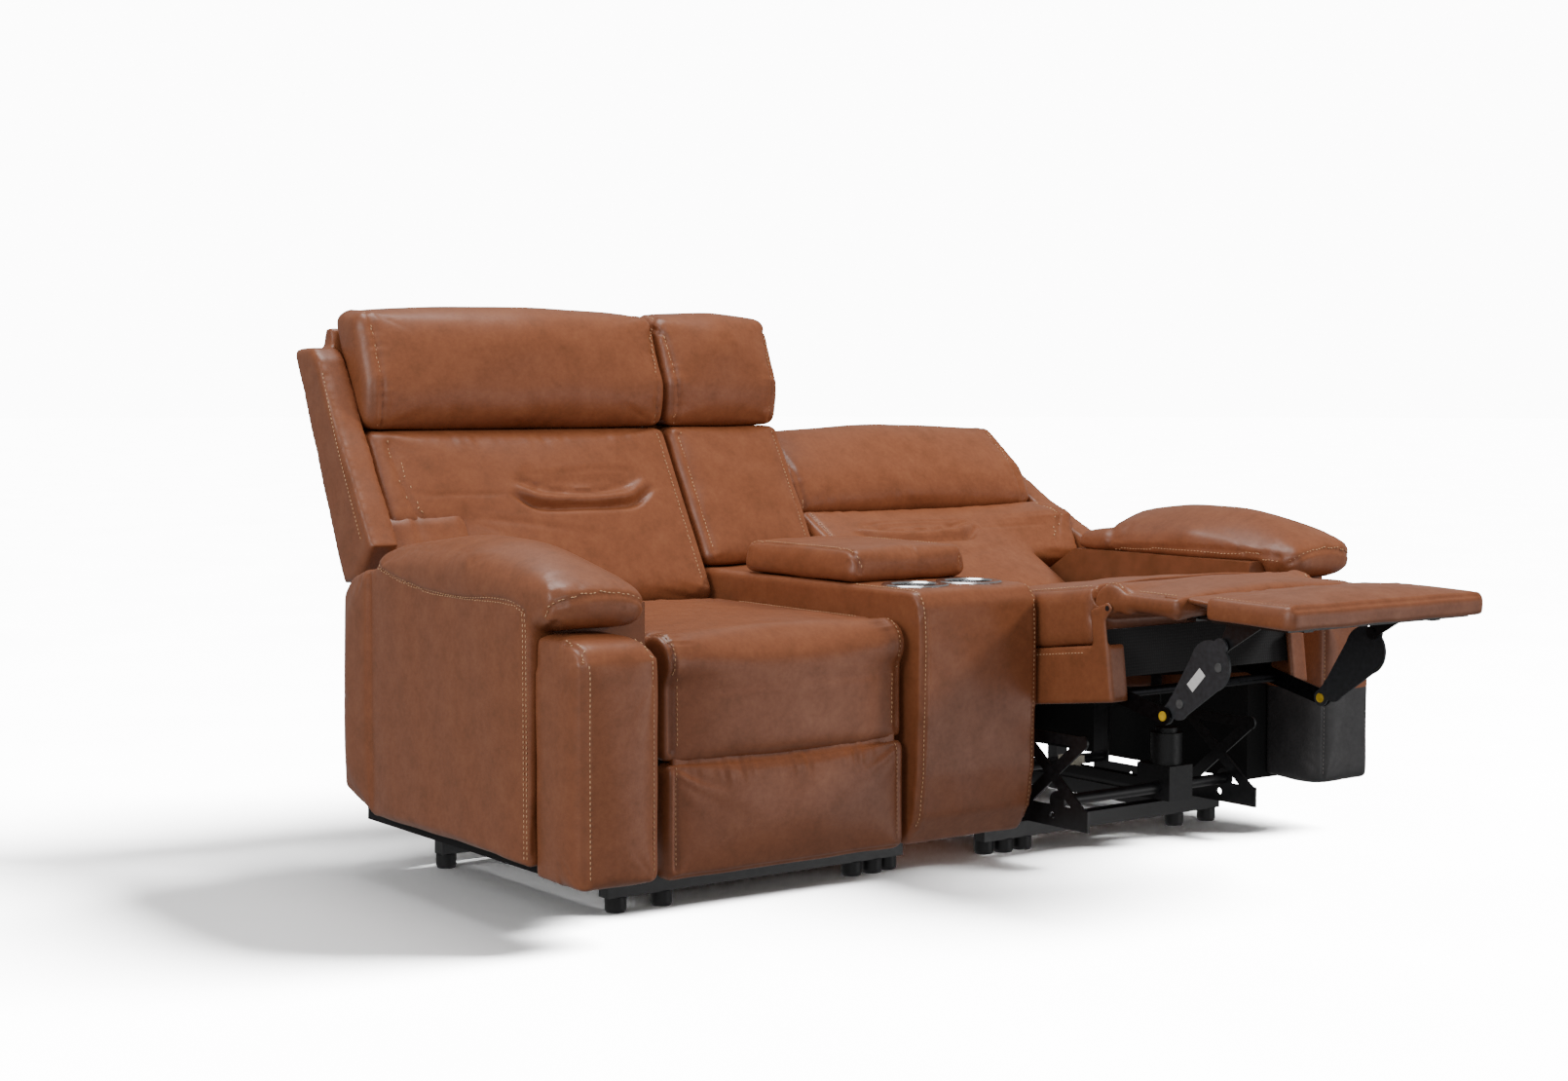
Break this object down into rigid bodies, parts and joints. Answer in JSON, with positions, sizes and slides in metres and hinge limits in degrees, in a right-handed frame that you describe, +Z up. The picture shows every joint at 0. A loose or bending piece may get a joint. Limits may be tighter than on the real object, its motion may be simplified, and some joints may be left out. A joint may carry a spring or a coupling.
{
  "type": "power reclining loveseat",
  "caption": "Power reclining loveseat with padded arms and a centre console with cup holders, one seat upright and one reclined with its footrest raised",
  "frame": {"origin": "centre of the bounding box on the floor, in the stored pose with the viewer's right footrest out", "axes": "+X to the viewer's right along the width, -Y towards the front of the seats, +Z up"},
  "size_m": [1.936, 1.6135, 1.0511],
  "materials": {
    "board": "matte",
    "button_metal": "satin",
    "cup_steel": "polished",
    "leather": "satin",
    "lining": "matte",
    "nut_plastic": "matte",
    "plastic_black": "matte",
    "steel_black": "satin"
  },
  "bodies": {
    "frame": {"base_left": "steel_black", "base_right": "steel_black", "foot_pads": "plastic_black", "arm_core_left": "board", "arm_core_right": "board", "arm_panel_left": "leather", "arm_panel_right": "leather", "arm_boot_left": "leather", "arm_boot_right": "leather", "arm_pad_left": "leather", "arm_pad_right": "leather", "console_body": "leather", "console_shell": "leather", "console_cushion": "leather", "console_headrest": "leather", "cup_holders": "cup_steel", "power_inlet": "plastic_black", "switch_plates": "plastic_black", "rear_skirts": "lining"},
    "lid": {"console_lid": "leather"},
    "carriage_left": {"carriage_left": "steel_black", "motor_left": "plastic_black"},
    "nut_left": {"drive_nut_left": "nut_plastic"},
    "seat_left": {"pan_frame_left": "steel_black", "seat_box_left": "leather", "front_panel_left": "lining", "seat_cushion_left": "leather"},
    "support_left": {"support_links_left": "steel_black"},
    "back_left": {"back_frame_left": "steel_black", "back_shell_left": "leather", "lumbar_cushion_left": "leather", "head_cushion_left": "leather"},
    "footrest_left": {"chaise_frame_left": "steel_black", "chaise_pad_left": "leather"},
    "ottoman_left": {"ottoman_frame_left": "steel_black", "ottoman_pad_left": "leather"},
    "rear_links_left": {"rear_links_left": "steel_black"},
    "front_links_left": {"front_links_left": "steel_black"},
    "button_out_left": {"button_out_left": "button_metal"},
    "button_in_left": {"button_in_left": "button_metal"},
    "carriage_right": {"carriage_right": "steel_black", "motor_right": "plastic_black"},
    "nut_right": {"drive_nut_right": "nut_plastic"},
    "seat_right": {"pan_frame_right": "steel_black", "seat_box_right": "leather", "front_panel_right": "lining", "seat_cushion_right": "leather"},
    "support_right": {"support_links_right": "steel_black"},
    "back_right": {"back_frame_right": "steel_black", "back_shell_right": "leather", "lumbar_cushion_right": "leather", "head_cushion_right": "leather"},
    "footrest_right": {"chaise_frame_right": "steel_black", "chaise_pad_right": "leather"},
    "ottoman_right": {"ottoman_frame_right": "steel_black", "ottoman_pad_right": "leather"},
    "rear_links_right": {"rear_links_right": "steel_black"},
    "front_links_right": {"front_links_right": "steel_black"},
    "button_out_right": {"button_out_right": "button_metal"},
    "button_in_right": {"button_in_right": "button_metal"}
  },
  "joints": [
    {"name": "left_recline", "type": "slide", "parent": "frame", "child": "carriage_left", "axis": [0, -1, 0], "range_m": [0, 0.258]},
    {"name": "left_seat_pitch", "type": "hinge", "parent": "carriage_left", "child": "seat_left", "pos_m": [0, 0.396, 0.374], "axis": [-1, 0, 0], "range_deg": [0, 7]},
    {"name": "left_back_tilt", "type": "hinge", "parent": "carriage_left", "child": "back_left", "pos_m": [0, 0.396, 0.374], "axis": [-1, 0, 0], "range_deg": [0, 31.5]},
    {"name": "left_support_swing", "type": "hinge", "parent": "carriage_left", "child": "support_left", "pos_m": [0, 0.23854, 0.33186], "axis": [-1, 0, 0], "range_deg": [0, 14.52]},
    {"name": "left_footrest", "type": "hinge", "parent": "seat_left", "child": "footrest_left", "pos_m": [0, -0.129, 0.43], "axis": [-1, 0, 0], "range_deg": [0, 82]},
    {"name": "left_footrest_reach", "type": "slide", "parent": "footrest_left", "child": "ottoman_left", "axis": [0, 0, -1], "range_m": [0, 0.05701]},
    {"name": "left_rear_link", "type": "hinge", "parent": "seat_left", "child": "rear_links_left", "pos_m": [0, -0.002, 0.302], "axis": [-1, 0, 0], "range_deg": [0, 69.03]},
    {"name": "left_front_link", "type": "hinge", "parent": "rear_links_left", "child": "front_links_left", "pos_m": [0, -0.00555, 0.09003], "axis": [1, 0, 0], "range_deg": [0, 96.09]},
    {"name": "left_drive_nut", "type": "slide", "parent": "carriage_left", "child": "nut_left", "axis": [0, 1, 0], "range_m": [0, 0.18001]},
    {"name": "left_button_out", "type": "slide", "parent": "frame", "child": "button_out_left", "axis": [-1, 0, 0], "range_m": [0, 0.0012], "stiffness_N_per_m": 1500, "springref_m": -0.0008},
    {"name": "left_button_in", "type": "slide", "parent": "frame", "child": "button_in_left", "axis": [-1, 0, 0], "range_m": [0, 0.0012], "stiffness_N_per_m": 1500, "springref_m": -0.0008},
    {"name": "right_recline", "type": "slide", "parent": "frame", "child": "carriage_right", "axis": [0, -1, 0], "range_m": [-0.258, 0]},
    {"name": "right_seat_pitch", "type": "hinge", "parent": "carriage_right", "child": "seat_right", "pos_m": [0, 0.138, 0.374], "axis": [-1, 0, 0], "range_deg": [-7, 0]},
    {"name": "right_back_tilt", "type": "hinge", "parent": "carriage_right", "child": "back_right", "pos_m": [0, 0.138, 0.374], "axis": [-1, 0, 0], "range_deg": [-31.5, 0]},
    {"name": "right_support_swing", "type": "hinge", "parent": "carriage_right", "child": "support_right", "pos_m": [0, -0.01946, 0.33186], "axis": [-1, 0, 0], "range_deg": [-14.52, 0]},
    {"name": "right_footrest", "type": "hinge", "parent": "seat_right", "child": "footrest_right", "pos_m": [0, -0.37626, 0.49356], "axis": [-1, 0, 0], "range_deg": [-82, 0]},
    {"name": "right_footrest_reach", "type": "slide", "parent": "footrest_right", "child": "ottoman_right", "axis": [0, -0.9998, -0.0175], "range_m": [-0.05701, 0]},
    {"name": "right_rear_link", "type": "hinge", "parent": "seat_right", "child": "rear_links_right", "pos_m": [0, -0.26581, 0.35104], "axis": [-1, 0, 0], "range_deg": [-69.03, 0]},
    {"name": "right_front_link", "type": "hinge", "parent": "rear_links_right", "child": "front_links_right", "pos_m": [0, -0.47236, 0.30331], "axis": [1, 0, 0], "range_deg": [-96.09, 0]},
    {"name": "right_drive_nut", "type": "slide", "parent": "carriage_right", "child": "nut_right", "axis": [0, 1, 0], "range_m": [-0.18001, 0]},
    {"name": "right_button_out", "type": "slide", "parent": "frame", "child": "button_out_right", "axis": [1, 0, 0], "range_m": [0, 0.0012], "stiffness_N_per_m": 1500, "springref_m": -0.0008},
    {"name": "right_button_in", "type": "slide", "parent": "frame", "child": "button_in_right", "axis": [1, 0, 0], "range_m": [0, 0.0012], "stiffness_N_per_m": 1500, "springref_m": -0.0008},
    {"name": "console_lid", "type": "hinge", "parent": "frame", "child": "lid", "pos_m": [0, 0.367, 0.539], "axis": [-1, 0, 0], "range_deg": [0, 84]}
  ],
  "couplings": [
    {"joint": "left_seat_pitch", "follows": "left_recline", "rad_per_m": 0.47354},
    {"joint": "left_back_tilt", "follows": "left_recline", "rad_per_m": 2.1309},
    {"joint": "left_support_swing", "follows": "left_recline", "rad_per_m": 0.98195},
    {"joint": "left_footrest_reach", "follows": "left_footrest", "m_per_rad": 0.039828},
    {"joint": "left_rear_link", "follows": "left_footrest", "ratio": 0.84182},
    {"joint": "left_front_link", "follows": "left_footrest", "ratio": 1.1719},
    {"joint": "left_drive_nut", "follows": "left_footrest", "m_per_rad": 0.12577},
    {"joint": "right_seat_pitch", "follows": "right_recline", "rad_per_m": 0.47354},
    {"joint": "right_back_tilt", "follows": "right_recline", "rad_per_m": 2.1309},
    {"joint": "right_support_swing", "follows": "right_recline", "rad_per_m": 0.98195},
    {"joint": "right_footrest_reach", "follows": "right_footrest", "m_per_rad": 0.039828},
    {"joint": "right_rear_link", "follows": "right_footrest", "ratio": 0.84182},
    {"joint": "right_front_link", "follows": "right_footrest", "ratio": 1.1719},
    {"joint": "right_drive_nut", "follows": "right_footrest", "m_per_rad": 0.12577}
  ]
}
